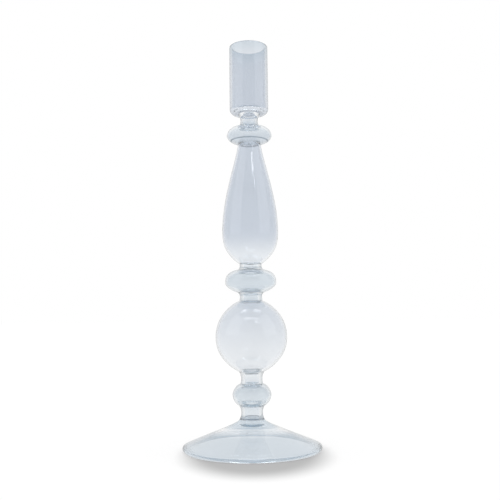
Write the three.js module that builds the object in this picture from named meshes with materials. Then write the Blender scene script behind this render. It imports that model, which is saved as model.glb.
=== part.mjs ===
// A clear glass candlestick, flameworked from tube: a wide hollow foot, five blown sections,
// the short necks that join them, and an open cup that takes one dinner candle.
// Millimetres, +Z up. The origin is the centre of the foot on the surface it stands on.

import * as THREE from 'three';

// Heights of the welds, from the table up.
const weld = {
  footTop: 21.5,
  beadBottom: 31,
  beadTop: 47,
  ballBottom: 55.5,
  ballTop: 107,
  lowerRingBottom: 113,
  lowerRingTop: 130,
  teardropBottom: 134,
  teardropTop: 225,
  upperRingTop: 237.5,
  cupBottom: 247.5,
  cupRim: 300,
};

// Bore through the stem, and the narrower bore of the neck under the cup.
const stemBore = 5.4;
const cupNeckBore = 4.6;

// The foot: a shallow hollow cone on a rounded rim, closed at the stem by a thick web.
const foot = {
  radius: 50.5,
  rimRadius: 2,
  rimSweep: 66,
  outerLow: [21, 15.4],
  outerHigh: [9.6, 19.4],
  topRadius: 9.2,
  webBottom: 18.2,
  innerHigh: [12, 18],
  innerLow: [21, 13.5],
  hollowEdge: [45.6, 2.4],
  landInside: 46.6,
};

// Blown sections. Each swells from its weld radii to its widest radius, and a side follows
// (1 - u^rise)^close, with u from 0 at the widest height to 1 at the weld.
const bead = {
  bottom: weld.beadBottom, bottomRadius: 9, bottomRise: 2.56, bottomClose: 0.93,
  widestAt: 40, widest: 14.2, wall: 1.4,
  top: weld.beadTop, topRadius: 8.3, topRise: 1.22, topClose: 0.54,
};
const ball = {
  bottom: weld.ballBottom, bottomRadius: 9.2, bottomRise: 2.19, bottomClose: 0.84,
  widestAt: 80.5, widest: 26.4, wall: 1.1,
  top: weld.ballTop, topRadius: 8.6, topRise: 2.2, topClose: 0.78,
};
const lowerRing = {
  bottom: weld.lowerRingBottom, bottomRadius: 9.6, bottomRise: 1.8, bottomClose: 0.85,
  widestAt: 120, widest: 18.9, wall: 1.2,
  top: weld.lowerRingTop, topRadius: 9.4, topRise: 2.95, topClose: 0.62,
};
const teardrop = {
  bottom: weld.teardropBottom, bottomRadius: 8.2, bottomRise: 3.1, bottomClose: 1.02,
  widestAt: 160.5, widest: 20.85, wall: 1.1,
  top: weld.teardropTop, topRadius: 8.6, topRise: 1.74, topClose: 1.37,
};
const upperRing = {
  bottom: weld.teardropTop, bottomRadius: 8.6, bottomRise: 2.1, bottomClose: 0.61,
  widestAt: 231, widest: 16.9, wall: 1.2,
  top: weld.upperRingTop, topRadius: 7.6, topRise: 1.8, topClose: 0.39,
};

// Waists of the necks between the sections.
const neckWaist = {
  foot: { at: 26, radius: 7.8 },
  ballLower: { at: 51, radius: 7.75 },
  ballUpper: { at: 110.5, radius: 8.1 },
  teardrop: { at: 132.5, radius: 8.1 },
  cup: { at: 242.5, radius: 6.45 },
};
const cupNeckTopRadius = 8.1;

// The candle cup.
const cup = {
  radius: 14.65,
  bore: 12.7,
  floor: 250.5,
  flatRadius: 9.7,
  heelHeight: 3.5,
  heelRise: 1.8,
  heelClose: 0.37,
  innerCorner: 1.8,
};

// The glass is clear, with a faint blue-grey that deepens where the wall is thick.
const tint = {
  foot: 0xccd5dc,
  neck: 0xc4cdd4,
  bead: 0xd0d9e0,
  ball: 0xdce0e8,
  lowerRing: 0xccd5dc,
  teardrop: 0xcdd5dc,
  upperRing: 0xc8d1d8,
  cup: 0xc9d2dc,
};
const thinGlassRoughness = 0.03;
const thickGlassRoughness = 0.05;
const glassOpacity = 0.55;

// Fineness of the solids.
const sidesAround = 32;
const stepsUpSwell = 5;
const stepsUpTeardrop = 8;

// Points along one side of a swelling, from the widest height to its end. Equal steps of the
// angle keep the points close together where the side turns in.
function swellSide(widest, widestAt, endRadius, end, rise, close, steps) {
  const points = [];
  for (let i = 0; i <= steps; i++) {
    const u = Math.sin((i / steps) * Math.PI / 2);
    const fullness = Math.pow(1 - Math.pow(u, rise), close);
    const radius = endRadius + (widest - endRadius) * fullness;
    points.push(new THREE.Vector2(radius, widestAt + (end - widestAt) * u));
  }
  return points;
}

// Points along a circular arc, from one angle to another in degrees.
function arc([centreRadius, centreHeight], radius, from, to, steps) {
  const points = [];
  for (let i = 0; i <= steps; i++) {
    const angle = THREE.MathUtils.degToRad(from + (to - from) * (i / steps));
    points.push(new THREE.Vector2(
      centreRadius + radius * Math.cos(angle),
      centreHeight + radius * Math.sin(angle),
    ));
  }
  return points;
}

function cubic(start, control1, control2, end, steps) {
  const curve = new THREE.CubicBezierCurve(
    new THREE.Vector2(...start),
    new THREE.Vector2(...control1),
    new THREE.Vector2(...control2),
    new THREE.Vector2(...end),
  );
  return curve.getPoints(steps);
}

// A solid of revolution about Z from a closed outline of (radius, height) points that goes up
// the outside and comes down the inside.
function turned(outline) {
  const points = outline.filter((point, i) => i === 0 || point.distanceTo(outline[i - 1]) > 1e-6);
  return new THREE.LatheGeometry(points, sidesAround).rotateX(Math.PI / 2);
}

// A blown section: a swelling with an even wall, and a bore through each end.
function blownSection(section, bottomBore, topBore, steps = stepsUpSwell) {
  const { bottom, bottomRadius, bottomRise, bottomClose, widestAt, widest, wall } = section;
  const { top, topRadius, topRise, topClose } = section;
  const outerBottom = swellSide(widest, widestAt, bottomRadius, bottom, bottomRise, bottomClose, steps);
  const outerTop = swellSide(widest, widestAt, topRadius, top, topRise, topClose, steps);
  const hollowBottom = swellSide(
    widest - wall, widestAt, bottomRadius - wall, bottom + wall, bottomRise, bottomClose, steps);
  const hollowTop = swellSide(
    widest - wall, widestAt, topRadius - wall, top - wall, topRise, topClose, steps);
  return turned([
    new THREE.Vector2(bottomBore, bottom),
    ...outerBottom.reverse(),
    ...outerTop.slice(1),
    new THREE.Vector2(topBore, top),
    new THREE.Vector2(topBore, top - wall),
    ...hollowTop.reverse(),
    ...hollowBottom.slice(1),
    new THREE.Vector2(bottomBore, bottom + wall),
    new THREE.Vector2(bottomBore, bottom),
  ]);
}

// A neck: a short waisted tube between two welds.
function neck(bottom, bottomRadius, top, topRadius, waist, bore) {
  const outer = [];
  for (const part of [-1, -0.6, 0, 0.6, 1]) {
    const end = part < 0 ? bottom : top;
    const endRadius = part < 0 ? bottomRadius : topRadius;
    const radius = waist.radius + (endRadius - waist.radius) * part * part;
    outer.push(new THREE.Vector2(radius, waist.at + (end - waist.at) * Math.abs(part)));
  }
  return turned([
    new THREE.Vector2(bore, bottom),
    ...outer,
    new THREE.Vector2(bore, top),
    new THREE.Vector2(bore, bottom),
  ]);
}

function footSolid() {
  const rimCentre = [foot.radius - foot.rimRadius, foot.rimRadius];
  const rimLow = arc(rimCentre, foot.rimRadius, -90, 0, 3);
  const rimHigh = arc(rimCentre, foot.rimRadius, 0, foot.rimSweep, 2);
  const rimEnd = rimHigh[rimHigh.length - 1].toArray();
  const cone = cubic(rimEnd, foot.outerLow, foot.outerHigh, [foot.topRadius, weld.footTop], 8);
  const underside = cubic([0, foot.webBottom], foot.innerHigh, foot.innerLow, foot.hollowEdge, 7);
  return turned([
    ...underside,
    new THREE.Vector2(foot.landInside, 0),
    ...rimLow,
    ...rimHigh.slice(1),
    ...cone.slice(1),
    new THREE.Vector2(0, weld.footTop),
  ]);
}

function cupSolid() {
  const heel = swellSide(
    cup.radius, weld.cupBottom + cup.heelHeight, cup.flatRadius, weld.cupBottom,
    cup.heelRise, cup.heelClose, 4);
  const lip = (cup.radius - cup.bore) / 2;
  const rim = arc([cup.radius - lip, weld.cupRim - lip], lip, 0, 180, 4);
  const corner = arc(
    [cup.bore - cup.innerCorner, cup.floor + cup.innerCorner], cup.innerCorner, 0, -90, 3);
  return turned([
    new THREE.Vector2(0, weld.cupBottom),
    ...heel.reverse(),
    ...rim,
    ...corner,
    new THREE.Vector2(0, cup.floor),
  ]);
}

function glass(color, roughness) {
  return new THREE.MeshStandardMaterial({
    color,
    roughness,
    metalness: 0,
    transparent: true,
    opacity: glassOpacity,
    side: THREE.DoubleSide,
  });
}

const candlestick = new THREE.Group();

function add(name, geometry, color, roughness) {
  const mesh = new THREE.Mesh(geometry, glass(color, roughness));
  mesh.name = name;
  candlestick.add(mesh);
}

add('foot', footSolid(), tint.foot, thickGlassRoughness);
add('foot_neck',
  neck(weld.footTop, foot.topRadius, weld.beadBottom, bead.bottomRadius, neckWaist.foot, stemBore),
  tint.neck, thickGlassRoughness);
add('bead', blownSection(bead, stemBore, stemBore), tint.bead, thickGlassRoughness);
add('ball_lower_neck',
  neck(weld.beadTop, bead.topRadius, weld.ballBottom, ball.bottomRadius, neckWaist.ballLower, stemBore),
  tint.neck, thickGlassRoughness);
add('ball', blownSection(ball, stemBore, stemBore), tint.ball, thinGlassRoughness);
add('ball_upper_neck',
  neck(weld.ballTop, ball.topRadius, weld.lowerRingBottom, lowerRing.bottomRadius,
    neckWaist.ballUpper, stemBore),
  tint.neck, thickGlassRoughness);
add('lower_ring', blownSection(lowerRing, stemBore, stemBore), tint.lowerRing, thickGlassRoughness);
add('teardrop_neck',
  neck(weld.lowerRingTop, lowerRing.topRadius, weld.teardropBottom, teardrop.bottomRadius,
    neckWaist.teardrop, stemBore),
  tint.neck, thickGlassRoughness);
add('teardrop', blownSection(teardrop, stemBore, stemBore, stepsUpTeardrop),
  tint.teardrop, thinGlassRoughness);
add('upper_ring', blownSection(upperRing, stemBore, cupNeckBore), tint.upperRing, thickGlassRoughness);
add('cup_neck',
  neck(weld.upperRingTop, upperRing.topRadius, weld.cupBottom, cupNeckTopRadius,
    neckWaist.cup, cupNeckBore),
  tint.neck, thickGlassRoughness);
add('candle_cup', cupSolid(), tint.cup, thinGlassRoughness);

export default candlestick;
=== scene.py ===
import math

import bmesh
import bpy
from mathutils import Matrix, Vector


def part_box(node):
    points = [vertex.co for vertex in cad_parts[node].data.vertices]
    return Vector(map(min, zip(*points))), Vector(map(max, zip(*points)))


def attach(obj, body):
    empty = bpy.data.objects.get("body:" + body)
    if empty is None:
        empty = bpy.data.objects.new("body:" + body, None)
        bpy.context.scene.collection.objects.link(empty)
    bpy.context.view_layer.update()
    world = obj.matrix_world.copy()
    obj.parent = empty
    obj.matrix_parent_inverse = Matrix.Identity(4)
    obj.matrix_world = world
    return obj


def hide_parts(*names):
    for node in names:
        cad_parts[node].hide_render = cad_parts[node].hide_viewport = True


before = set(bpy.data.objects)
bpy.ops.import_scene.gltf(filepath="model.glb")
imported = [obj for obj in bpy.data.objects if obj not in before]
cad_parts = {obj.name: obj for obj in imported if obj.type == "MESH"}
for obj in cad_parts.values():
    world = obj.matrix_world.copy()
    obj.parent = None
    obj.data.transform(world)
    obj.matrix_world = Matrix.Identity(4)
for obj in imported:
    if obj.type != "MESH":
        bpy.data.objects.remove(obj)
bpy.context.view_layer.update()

# sizes are in metres, angles in degrees
studio = {
    "spinSteps": 48,
    "smoothLevels": 2,
    "weldGap": 0.00002,  # air left between two sections, so that their glass never overlaps
    "cornerRadius": 0.00022,
    "sharpAngle": 50,
    "samePlace": 0.000001,  # two points closer than this are one
    "lightBounces": 32,
}

print("frame loaded:", len(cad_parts), "sections")


# outlines are lists of (radius, height) points

# one side of a swelling, from its widest height to its end, with shorter steps where it turns in
def swellSide(widest, widestAt, endRadius, endAt, rise, close, steps):
    side = []
    for i in range(steps + 1):
        u = math.sin(i / steps * math.pi / 2)
        fullness = (1 - u ** rise) ** close
        side.append((endRadius + (widest - endRadius) * fullness, widestAt + (endAt - widestAt) * u))
    return side


def arcPoints(centre, radius, startAngle, endAngle, steps):
    points = []
    for i in range(steps + 1):
        angle = math.radians(startAngle + (endAngle - startAngle) * i / steps)
        points.append((centre[0] + radius * math.cos(angle), centre[1] + radius * math.sin(angle)))
    return points


def easedCurve(start, handleA, handleB, end, steps):
    points = []
    knots = (start, handleA, handleB, end)
    for i in range(steps + 1):
        t = i / steps
        weights = ((1 - t) ** 3, 3 * (1 - t) ** 2 * t, 3 * (1 - t) * t ** 2, t ** 3)
        points.append(tuple(sum(w * k[axis] for w, k in zip(weights, knots)) for axis in (0, 1)))
    return points


# spins an outline round the stem, rounds the weld corners and gives the piece its place in the frame
def turnGlass(name, inner, outer, closed, material, node):
    outline = [(*point, 0.0) for point in inner] + [(*point, 1.0) for point in outer]
    near = studio["samePlace"]
    kept = [p for i, p in enumerate(outline) if i == 0 or math.dist(p[:2], outline[i - 1][:2]) > near]
    bm = bmesh.new()
    outside = bm.verts.layers.float.new("outside")  # 1 on the outer skin, 0 in the hollow
    verts = []
    for radius, height, side in kept:
        vert = bm.verts.new((radius, 0, height))
        vert[outside] = side
        verts.append(vert)
    edges = [bm.edges.new(pair) for pair in zip(verts, verts[1:])]
    if closed:
        edges.append(bm.edges.new((verts[-1], verts[0])))
    bmesh.ops.spin(bm, geom=verts + edges, cent=(0, 0, 0), axis=(0, 0, 1), angle=math.tau,
                   steps=studio["spinSteps"], use_merge=True)
    bmesh.ops.remove_doubles(bm, verts=bm.verts, dist=near)
    bmesh.ops.recalc_face_normals(bm, faces=bm.faces)
    limit = math.radians(studio["sharpAngle"])
    sharp = [edge for edge in bm.edges if edge.is_manifold and edge.calc_face_angle() > limit]
    if sharp:
        bmesh.ops.bevel(bm, geom=sharp, offset=studio["cornerRadius"], affect="EDGES", segments=2,
                        profile=0.5, material=-1, clamp_overlap=True)
    for face in bm.faces:
        face.smooth = True
    mesh = bpy.data.meshes.new(name)
    bm.to_mesh(mesh)
    bm.free()
    piece = bpy.data.objects.new(name, mesh)
    bpy.context.scene.collection.objects.link(piece)
    mesh.materials.append(material)
    smooth = piece.modifiers.new("smooth", "SUBSURF")
    smooth.levels = studio["smoothLevels"]
    smooth.render_levels = studio["smoothLevels"]
    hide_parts(node)
    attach(piece, "root")
    print("glass piece", name, "from", len(kept), "outline points")


def addNode(nodes, kind, values, **settings):
    node = nodes.new("ShaderNode" + kind)
    for setting, value in settings.items():
        setattr(node, setting, value)
    for socket, value in values.items():
        node.inputs[socket].default_value = value
    return node


def addNoise(nodes, links, place, scale, detail):
    noise = addNode(nodes, "TexNoise", {"Scale": scale, "Detail": detail})
    links.new(place, noise.inputs["Vector"])
    return noise.outputs["Fac"]


# maps a value from one range to another
def mapRange(nodes, links, value, startEnd, lowHigh=(0.0, 1.0), interpolation="LINEAR"):
    ranges = dict(zip(("From Min", "From Max", "To Min", "To Max"), (*startEnd, *lowHigh)))
    ramp = addNode(nodes, "MapRange", ranges, interpolation_type=interpolation)
    links.new(value, ramp.inputs["Value"])
    return ramp.outputs["Result"]


def multiply(nodes, links, first, second):
    product = addNode(nodes, "Math", {}, operation="MULTIPLY")
    links.new(first, product.inputs[0])
    links.new(second, product.inputs[1])
    return product.outputs[0]


# grows from 0 to 1 as the height gets from start to end away from centre
def heightMask(nodes, links, height, centre, start, end):
    offCentre = addNode(nodes, "Math", {1: centre}, operation="SUBTRACT")
    links.new(height, offCentre.inputs[0])
    away = addNode(nodes, "Math", {}, operation="ABSOLUTE")
    links.new(offCentre.outputs[0], away.inputs[0])
    return mapRange(nodes, links, away.outputs[0], (start, end), interpolation="SMOOTHSTEP")


# multiplies a colour by a painted shade colour, as far as the mask says
def shadeWhere(nodes, links, colour, tintAndShade, mask):
    mix = addNode(nodes, "Mix", {}, data_type="RGBA", blend_type="MULTIPLY")
    mix.inputs["B"].default_value = (*tintAndShade, 1)
    links.new(mask, mix.inputs["Factor"])
    links.new(colour, mix.inputs["A"])
    return mix.outputs["Result"]


# what all the glass has in common
finishLook = {
    "ior": 1.47,
    "driftScale": 22, "driftDetail": 2, "driftRange": (0.3, 0.7), "driftShade": (0.96, 1.0),
    "edgeShade": 0.1,  # painted shade: share of the tint left where the outer skin is seen edge on
    # painted shade: a faint darker band at each end of a piece, where the light through the welds falls
    # darker
    "weldShadeWidth": 0.0006, "weldShade": (0.95, 0.965, 0.975),
    "polishScale": 180, "polishDetail": 4, "polishRange": (0.45, 0.75), "roughness": (0.0, 0.03),
    "waveScale": 28, "waveDetail": 1, "waveStrength": 0.12, "waveDepth": 0.001,
}
farAway = 1  # painted weld shade set at this height, above or below, leaves no mark on the piece


# the common finish, with a tint and painted shade that run from one end of the piece to the other
def glassLook(node, **changes):
    low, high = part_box(node)
    ends = {"tintFrom": low.z, "tintTo": high.z, "weldShadeLow": low.z, "weldShadeHigh": high.z}
    return {**finishLook, **ends, **changes}


# tint that drifts slowly along the section, partly the glass's own tint and partly painted shade for how
# bright the light through each height falls, with a faint painted shade line at each weld and a dark
# painted shade line where one is set
def tintAndShadeAlong(nodes, links, height, outside, look):
    along = mapRange(nodes, links, height, (look["tintFrom"], look["tintTo"]), interpolation="SMOOTHSTEP")
    tintAndShade = addNode(nodes, "Mix", {}, data_type="RGBA")
    tintAndShade.inputs["A"].default_value = (*look["lowTintAndShade"], 1)
    tintAndShade.inputs["B"].default_value = (*look["highTintAndShade"], 1)
    links.new(along, tintAndShade.inputs["Factor"])
    # painted shade near the welds, darkest at the ends of the piece
    middle = (look["weldShadeLow"] + look["weldShadeHigh"]) / 2
    reach = (look["weldShadeHigh"] - look["weldShadeLow"]) / 2
    weldShadeMask = heightMask(nodes, links, height, middle, reach - look["weldShadeWidth"], reach)
    colour = shadeWhere(nodes, links, tintAndShade.outputs["Result"], look["weldShade"], weldShadeMask)
    # painted shade: a thin dark line on the outer skin, where the glass looks darkest by refraction
    if "shadeLineAt" in look:
        shadeLineMask = heightMask(nodes, links, height, look["shadeLineAt"], look["shadeLineWidth"], 0)
        outerShadeLineMask = multiply(nodes, links, shadeLineMask, outside)
        colour = shadeWhere(nodes, links, colour, look["shadeLineColour"], outerShadeLineMask)
    return colour


# faint patches, and painted shade where the outer skin is seen edge on: it darkens the rim against its
# white reflection, partly a deeper tint along the longer path through the glass
def patchesAndEdgeShade(nodes, links, place, outside, look):
    drift = addNoise(nodes, links, place, look["driftScale"], look["driftDetail"])
    patches = mapRange(nodes, links, drift, look["driftRange"], look["driftShade"])
    facing = addNode(nodes, "LayerWeight", {"Blend": 0.5}).outputs["Facing"]
    outerEdge = multiply(nodes, links, facing, outside)
    edge = mapRange(nodes, links, outerEdge, (look["edgeFrom"], 1.0), (1.0, look["edgeShade"]))
    return multiply(nodes, links, patches, edge)


# clear glass with a faint tint and painted shade, soft hand-drawn waves and a fire polish
def mixGlass(name, look):
    material = bpy.data.materials.new(name)
    material.use_nodes = True
    nodes, links = material.node_tree.nodes, material.node_tree.links
    shader = nodes["Principled BSDF"]
    shader.inputs["Transmission Weight"].default_value = 1.0
    shader.inputs["IOR"].default_value = look["ior"]
    place = nodes.new("ShaderNodeTexCoord").outputs["Object"]
    axes = nodes.new("ShaderNodeSeparateXYZ")
    links.new(place, axes.inputs[0])
    outside = addNode(nodes, "Attribute", {}, attribute_name="outside").outputs["Fac"]

    colour = addNode(nodes, "Mix", {}, data_type="RGBA", blend_type="MULTIPLY")
    colour.inputs["Factor"].default_value = 1.0
    links.new(tintAndShadeAlong(nodes, links, axes.outputs["Z"], outside, look), colour.inputs["A"])
    links.new(patchesAndEdgeShade(nodes, links, place, outside, look), colour.inputs["B"])
    links.new(colour.outputs["Result"], shader.inputs["Base Color"])

    # fire polish: nearly clear, with barely duller patches
    polish = addNoise(nodes, links, place, look["polishScale"], look["polishDetail"])
    gloss = mapRange(nodes, links, polish, look["polishRange"], look["roughness"])
    links.new(gloss, shader.inputs["Roughness"])

    # waves left by the flame and the turning
    waves = addNoise(nodes, links, place, look["waveScale"], look["waveDetail"])
    bump = addNode(nodes, "Bump", {"Strength": look["waveStrength"], "Distance": look["waveDepth"]})
    links.new(waves, bump.inputs["Height"])
    links.new(bump.outputs["Normal"], shader.inputs["Normal"])
    print("glass mixed:", name)
    return material


# foot: hollow cone on a rounded rim, closed under the stem by a web
footLook = {
    "rimRadius": 0.002,
    "rimSweep": 66,
    "outerHandles": ((0.021, 0.0154), (0.0096, 0.0194)),
    "topRadius": 0.0092,
    "webBottom": 0.0182,
    "innerHandles": ((0.012, 0.018), (0.021, 0.0135)),
    "hollowEdge": (0.0456, 0.0024),
    "landInside": 0.0466,
    "topFlat": 0.004,
    # foot: painted shade by height, darker below about 12 mm and above about 15 mm, nearly clear between,
    # for how light passes the cone's walls
    "glass": {"lowTintAndShade": (0.63, 0.69, 0.745), "highTintAndShade": (0.98, 0.985, 0.99),
              "tintFrom": 0.0118, "tintTo": 0.0142, "edgeFrom": 0.68,
              "weldShadeLow": -farAway, "weldShadeHigh": 0.0177, "weldShadeWidth": 0.003, "weldShade": (0.61, 0.685, 0.75)},
}


def makeFoot():
    low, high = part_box("foot")
    top = high.z - studio["weldGap"]
    rimCentre = (high.x - footLook["rimRadius"], low.z + footLook["rimRadius"])
    rimLow = arcPoints(rimCentre, footLook["rimRadius"], -90, 0, 4)
    rimHigh = arcPoints(rimCentre, footLook["rimRadius"], 0, footLook["rimSweep"], 3)
    cone = easedCurve(rimHigh[-1], *footLook["outerHandles"], (footLook["topRadius"], top), 12)
    inside = easedCurve((0, footLook["webBottom"]), *footLook["innerHandles"], footLook["hollowEdge"], 12)
    land = [(footLook["landInside"], low.z)]
    outer = land + rimLow + rimHigh[1:] + cone[1:] + [(footLook["topFlat"], top), (0, top)]
    material = mixGlass("footGlass", glassLook("foot", **footLook["glass"]))
    turnGlass("foot_glass", inside, outer, False, material, "foot")


# candle cup: straight wall, fire-polished lip, thick flat floor
cupLook = {
    "bore": 0.0127,
    "floor": 0.2505,
    "flatRadius": 0.0097,
    "heelHeight": 0.0035,
    "heelCurve": (1.8, 0.37),
    "innerCorner": 0.0018,
    "floorFlat": 0.004,
    "wallFrom": 0.006,  # the wall is straight from this far above the bottom
    "wallFromInside": 0.004,  # inside, from this far above the floor
    "wallTo": 0.004,  # up to this far below the lip
    "tintedTop": 0.014,  # how far below the lip the tint and painted shade start to change
    "glass": {"lowTintAndShade": (0.74, 0.775, 0.825), "highTintAndShade": (0.64, 0.705, 0.765), "edgeFrom": 0.47,
              "weldShadeHigh": farAway, "weldShadeWidth": 0.005, "weldShade": (0.95, 0.965, 0.98),
              "waveStrength": 0.04},
}


def makeCup():
    low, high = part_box("candle_cup")
    bottom, radius, bore, floor = low.z + studio["weldGap"], high.x, cupLook["bore"], cupLook["floor"]
    heel = swellSide(radius, bottom + cupLook["heelHeight"], cupLook["flatRadius"], bottom,
                     *cupLook["heelCurve"], 7)
    lip = (radius - bore) / 2
    rim = arcPoints((radius - lip, high.z - lip), lip, 0, 180, 6)
    bend = cupLook["innerCorner"]
    corner = arcPoints((bore - bend, floor + bend), bend, 0, -90, 4)
    wallTop = high.z - cupLook["wallTo"]
    innerWall = [(bore, floor + cupLook["wallFromInside"]), (bore, wallTop)]
    outerWall = [(radius, wallTop), (radius, bottom + cupLook["wallFrom"])]
    inner = [(0, floor), (cupLook["floorFlat"], floor)] + corner[::-1] + innerWall
    outer = rim[::-1] + outerWall + heel + [(cupLook["floorFlat"], bottom), (0, bottom)]
    look = glassLook("candle_cup", tintFrom=high.z - cupLook["tintedTop"], **cupLook["glass"])
    material = mixGlass("cupGlass", look)
    turnGlass("candle_cup_glass", inner, outer, False, material, "candle_cup")


stemBore = 0.0054
cupNeckBore = 0.0046

# blown sections: a bottom or top curve is how the side rises and how it closes at the weld
# each look's two tints are partly the glass's own tint and partly painted shade, lighter or darker by
# height as the light falls
sectionLooks = {
    "bead": {
        "widestAt": 0.04, "wall": 0.0014,
        "bottomRadius": 0.009, "bottomCurve": (2.56, 0.93), "bottomBore": stemBore,
        "topRadius": 0.0083, "topCurve": (1.22, 0.54), "topBore": stemBore,
        "slot": "bead_glass",
        "glass": {"lowTintAndShade": (0.86, 0.895, 0.92), "highTintAndShade": (0.75, 0.79, 0.825), "edgeFrom": 0.5},
    },
    "ball": {
        "widestAt": 0.0805, "wall": 0.0011,
        "bottomRadius": 0.0092, "bottomCurve": (2.19, 0.84), "bottomBore": stemBore,
        "topRadius": 0.0086, "topCurve": (2.2, 0.78), "topBore": stemBore,
        "slot": "ball_glass",
        "glass": {"lowTintAndShade": (0.93, 0.945, 0.96), "highTintAndShade": (0.8, 0.83, 0.87), "edgeFrom": 0.6},
    },
    "lower_ring": {
        "widestAt": 0.12, "wall": 0.0012,
        "bottomRadius": 0.0096, "bottomCurve": (1.8, 0.85), "bottomBore": stemBore,
        "topRadius": 0.0094, "topCurve": (2.95, 0.62), "topBore": stemBore,
        "slot": "ring_glass",
        "glass": {"lowTintAndShade": (0.84, 0.88, 0.91), "highTintAndShade": (0.79, 0.83, 0.865), "edgeFrom": 0.57},
    },
    "teardrop": {
        "widestAt": 0.1605, "wall": 0.0011, "steps": 12,
        "bottomRadius": 0.0082, "bottomCurve": (3.1, 1.02), "bottomBore": stemBore,
        "topRadius": 0.0086, "topCurve": (1.74, 1.37), "topBore": stemBore,
        "slot": "teardrop_glass",
        "glass": {"lowTintAndShade": (0.91, 0.93, 0.95), "highTintAndShade": (0.755, 0.79, 0.84),
                  "tintFrom": 0.137, "tintTo": 0.16, "edgeFrom": 0.61},
    },
    "upper_ring": {
        "widestAt": 0.231, "wall": 0.0012,
        "bottomRadius": 0.0086, "bottomCurve": (2.1, 0.61), "bottomBore": stemBore,
        "topRadius": 0.0076, "topCurve": (1.8, 0.39), "topBore": cupNeckBore,
        "slot": "ring_glass",
        "glass": {"lowTintAndShade": (0.78, 0.82, 0.86), "highTintAndShade": (0.9, 0.93, 0.95),
                  "tintFrom": 0.23, "edgeFrom": 0.55,
                  # a thin dark line of painted shade where the ring's underside turns in
                  "shadeLineAt": 0.2267, "shadeLineWidth": 0.0005, "shadeLineColour": (0.15, 0.2, 0.25)},
    },
}
sectionSteps = 9


# a blown section: outer swelling and the hollow inside it, open to the bore at both ends
def blowSection(node, look):
    low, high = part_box(node)
    gap = studio["weldGap"]
    bottom, top = low.z + gap, high.z - gap
    widest, widestAt, wall = high.x, look["widestAt"], look["wall"]
    hollow = widest - wall
    bottomRadius, topRadius = look["bottomRadius"], look["topRadius"]
    steps = look.get("steps", sectionSteps)
    rise, close = look["bottomCurve"]
    outerLow = swellSide(widest, widestAt, bottomRadius, bottom, rise, close, steps)
    hollowLow = swellSide(hollow, widestAt, bottomRadius - wall, bottom + wall, rise, close, steps - 1)
    rise, close = look["topCurve"]
    outerHigh = swellSide(widest, widestAt, topRadius, top, rise, close, steps)
    hollowHigh = swellSide(hollow, widestAt, topRadius - wall, top - wall, rise, close, steps - 1)
    inner = [(look["topBore"], top), (look["topBore"], top - wall)] + hollowHigh[::-1] + hollowLow[1:]
    inner += [(look["bottomBore"], bottom + wall), (look["bottomBore"], bottom)]
    outer = outerLow[::-1] + outerHigh[1:]
    material = mixGlass(node + "Glass", glassLook(node, **look["glass"]))
    turnGlass(node + "_glass", inner, outer, True, material, node)


# each neck's two tints are partly the glass's own tint and partly painted shade, lighter or darker by
# height as the light falls
neckLooks = {
    "foot_neck": {
        "bottomRadius": 0.0092, "topRadius": 0.009, "bore": stemBore,
        "waist": 0.0078, "waistAt": 0.026,
        "glass": {"lowTintAndShade": (0.88, 0.905, 0.93), "highTintAndShade": (0.87, 0.9, 0.925),
                  # a thin dark line of painted shade just above the foot's weld
                  "shadeLineAt": 0.0223, "shadeLineWidth": 0.0011, "shadeLineColour": (0.07, 0.11, 0.16)},
    },
    "ball_lower_neck": {
        "bottomRadius": 0.0083, "topRadius": 0.0092, "bore": stemBore,
        "waist": 0.00775, "waistAt": 0.051,
        "glass": {"lowTintAndShade": (0.86, 0.885, 0.91), "highTintAndShade": (0.92, 0.94, 0.955)},
    },
    "ball_upper_neck": {
        "bottomRadius": 0.0086, "topRadius": 0.0096, "bore": stemBore,
        "waist": 0.0081, "waistAt": 0.1105,
        "glass": {"lowTintAndShade": (0.79, 0.83, 0.865), "highTintAndShade": (0.87, 0.9, 0.925)},
    },
    "teardrop_neck": {
        "bottomRadius": 0.0094, "topRadius": 0.0082, "bore": stemBore,
        "waist": 0.0081, "waistAt": 0.1325,
        "glass": {"lowTintAndShade": (0.92, 0.94, 0.955), "highTintAndShade": (0.86, 0.89, 0.915)},
    },
    "cup_neck": {
        "bottomRadius": 0.0076, "topRadius": 0.0081, "bore": cupNeckBore,
        "waist": 0.00645, "waistAt": 0.2425,
        "glass": {"lowTintAndShade": (0.72, 0.77, 0.82), "highTintAndShade": (0.96, 0.97, 0.98)},
    },
}
neckEdgeFrom = 0.22
boreNarrowing = 0.0001  # the bore is this much tighter at the middle of a neck


# a neck: a short waisted tube
def drawNeck(node, look):
    low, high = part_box(node)
    gap = studio["weldGap"]
    bottom, top = low.z + gap, high.z - gap
    outer = []
    for share in (-1, -0.8, -0.5, 0, 0.5, 0.8, 1):
        end, endRadius = (bottom, look["bottomRadius"]) if share < 0 else (top, look["topRadius"])
        radius = look["waist"] + (endRadius - look["waist"]) * share ** 2
        outer.append((radius, look["waistAt"] + (end - look["waistAt"]) * abs(share)))
    bore, middle = look["bore"], (bottom + top) / 2
    inner = [(bore, top), (bore - boreNarrowing, middle), (bore, bottom)]
    material = mixGlass(node + "Glass", glassLook(node, edgeFrom=neckEdgeFrom, **look["glass"]))
    turnGlass(node + "_glass", inner, outer, True, material, node)


makeFoot()
makeCup()
for node, look in sectionLooks.items():
    blowSection(node, look)
for node, look in neckLooks.items():
    drawNeck(node, look)

# floor: pale paper with a painted soft shadow in front of the foot, where the foot's shadow would fall
floorLook = {
    "size": 40,
    "segments": 8,
    "paper": (0.35, 0.35, 0.35),
    "roughness": 0.9,
    "glow": 0.67,
    "bounce": 1.0,
    "shadowAt": (0.0023, -0.017),
    "shadowRadius": (0.047, 0.0704),
    "shadowBlur": 0.27,
    "shadowDepth": 0.49,
}


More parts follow.
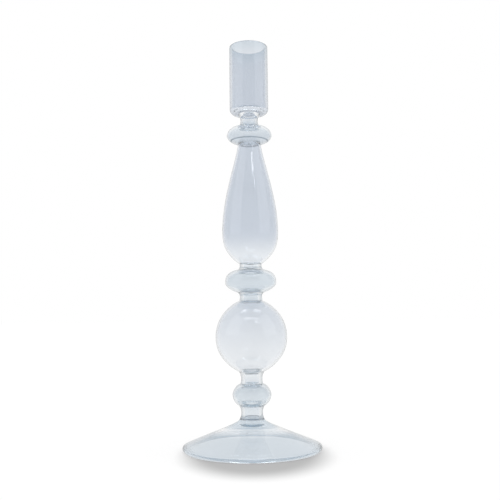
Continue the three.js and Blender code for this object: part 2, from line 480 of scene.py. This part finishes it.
# painted oval shadow: 1 on the open paper, down to the shadow's depth at its middle
def paintedShadowFade(nodes, links):
    place = nodes.new("ShaderNodeTexCoord")
    centred = {"Location": (*floorLook["shadowAt"], 0), "Scale": (*floorLook["shadowRadius"], 1)}
    oval = addNode(nodes, "Mapping", centred, vector_type="TEXTURE")
    links.new(place.outputs["Object"], oval.inputs["Vector"])
    reach = addNode(nodes, "VectorMath", {}, operation="LENGTH")
    links.new(oval.outputs["Vector"], reach.inputs[0])
    blur = floorLook["shadowBlur"]
    return mapRange(nodes, links, reach.outputs["Value"], (1 - blur, 1 + blur),
                    (1 - floorLook["shadowDepth"], 1.0), "SMOOTHSTEP")


def makeFloor():
    bm = bmesh.new()
    bmesh.ops.create_grid(bm, x_segments=floorLook["segments"], y_segments=floorLook["segments"],
                          size=floorLook["size"] / 2)
    mesh = bpy.data.meshes.new("floor")
    bm.to_mesh(mesh)
    bm.free()
    floor = bpy.data.objects.new("floor", mesh)
    bpy.context.scene.collection.objects.link(floor)
    material = bpy.data.materials.new("floorPaper")
    material.use_nodes = True
    nodes, links = material.node_tree.nodes, material.node_tree.links
    paper = nodes["Principled BSDF"]
    paper.inputs["Roughness"].default_value = floorLook["roughness"]
    paper.inputs["Specular IOR Level"].default_value = 0.0
    paper.inputs["Emission Strength"].default_value = floorLook["glow"]
    # the painted shadow darkens the paper's colour and its glow alike
    paintedShadow = paintedShadowFade(nodes, links)
    shade = addNode(nodes, "Mix", {}, data_type="RGBA", blend_type="MULTIPLY")
    shade.inputs["Factor"].default_value = 1.0
    shade.inputs["A"].default_value = (*floorLook["paper"], 1)
    links.new(paintedShadow, shade.inputs["B"])
    links.new(shade.outputs["Result"], paper.inputs["Base Color"])
    links.new(paintedShadow, paper.inputs["Emission Color"])
    # glass sees the paper evenly lit
    even = addNode(nodes, "Emission", {"Strength": floorLook["bounce"]})
    path = nodes.new("ShaderNodeLightPath")
    seen = nodes.new("ShaderNodeMixShader")
    links.new(path.outputs["Is Camera Ray"], seen.inputs[0])
    links.new(even.outputs[0], seen.inputs[1])
    links.new(paper.outputs[0], seen.inputs[2])
    links.new(seen.outputs[0], nodes["Material Output"].inputs["Surface"])
    mesh.materials.append(material)
    print("floor laid")


makeFloor()

# light: a white room, two tall boxes at the sides, three tubes overhead and in front, two small panes
lightLooks = {
    "leftBox": {"at": (-0.9, -0.45, 0.85), "size": (1.0, 1.4), "power": 3.4, "turn": (78, 0, -63)},
    "rightBox": {"at": (0.9, -0.45, 0.85), "size": (1.0, 1.4), "power": 3.8, "turn": (78, 0, 63)},
    "leftTube": {"at": (-0.27, -0.02, 1.2), "size": (0.4, 0.08), "power": 0.6, "turn": (0, 0, 0)},
    "rightTube": {"at": (0.27, -0.02, 1.2), "size": (0.4, 0.08), "power": 0.6, "turn": (0, 0, 0)},
    "frontTube": {"at": (0.0, -0.58, 1.05), "size": (0.8, 0.08), "power": 0.7, "turn": (30, 0, 0)},
    "window": {"at": (0.26, -0.7, 0.87), "size": (0.12, 0.07), "power": 0.12, "turn": (49, 0, 20)},
    "windowEdge": {"at": (0.4, -0.69, 0.81), "size": (0.03, 0.12), "power": 0.06, "turn": (52, 0, 30)},
}
mirroredOnly = ("leftBox", "rightBox")  # too large and bright to be seen through the glass
for name, look in lightLooks.items():
    data = bpy.data.lights.new(name, "AREA")
    data.shape = "RECTANGLE"
    data.size, data.size_y = look["size"]
    data.energy = look["power"]
    light = bpy.data.objects.new(name, data)
    light.location = look["at"]
    light.rotation_euler = [math.radians(angle) for angle in look["turn"]]
    light.visible_camera = False
    light.visible_diffuse = False
    light.visible_transmission = name not in mirroredOnly
    bpy.context.scene.collection.objects.link(light)

world = bpy.data.worlds.new("studio")
world.use_nodes = True
world.node_tree.nodes["Background"].inputs["Color"].default_value = (1, 1, 1, 1)
world.node_tree.nodes["Background"].inputs["Strength"].default_value = 1.0
bpy.context.scene.world = world
bpy.context.scene.view_settings.view_transform = "Standard"
for limit in ("max_bounces", "glossy_bounces", "transmission_bounces"):
    setattr(bpy.context.scene.cycles, limit, studio["lightBounces"])
print("lights set:", len(lightLooks))

# camera
cameraLook = {"at": (-0.0003, -0.5123, 0.0939), "tiltUp": 5.65, "roll": -0.6, "lens": 50, "clipStart": 0.01}
cameraData = bpy.data.cameras.new("camera")
cameraData.lens = cameraLook["lens"]
cameraData.clip_start = cameraLook["clipStart"]
camera = bpy.data.objects.new("camera", cameraData)
camera.location = cameraLook["at"]
tilt = Matrix.Rotation(math.radians(90 + cameraLook["tiltUp"]), 4, "X")
roll = Matrix.Rotation(math.radians(cameraLook["roll"]), 4, "Z")
camera.rotation_euler = (tilt @ roll).to_euler()
bpy.context.scene.collection.objects.link(camera)
bpy.context.scene.camera = camera
print("camera placed")
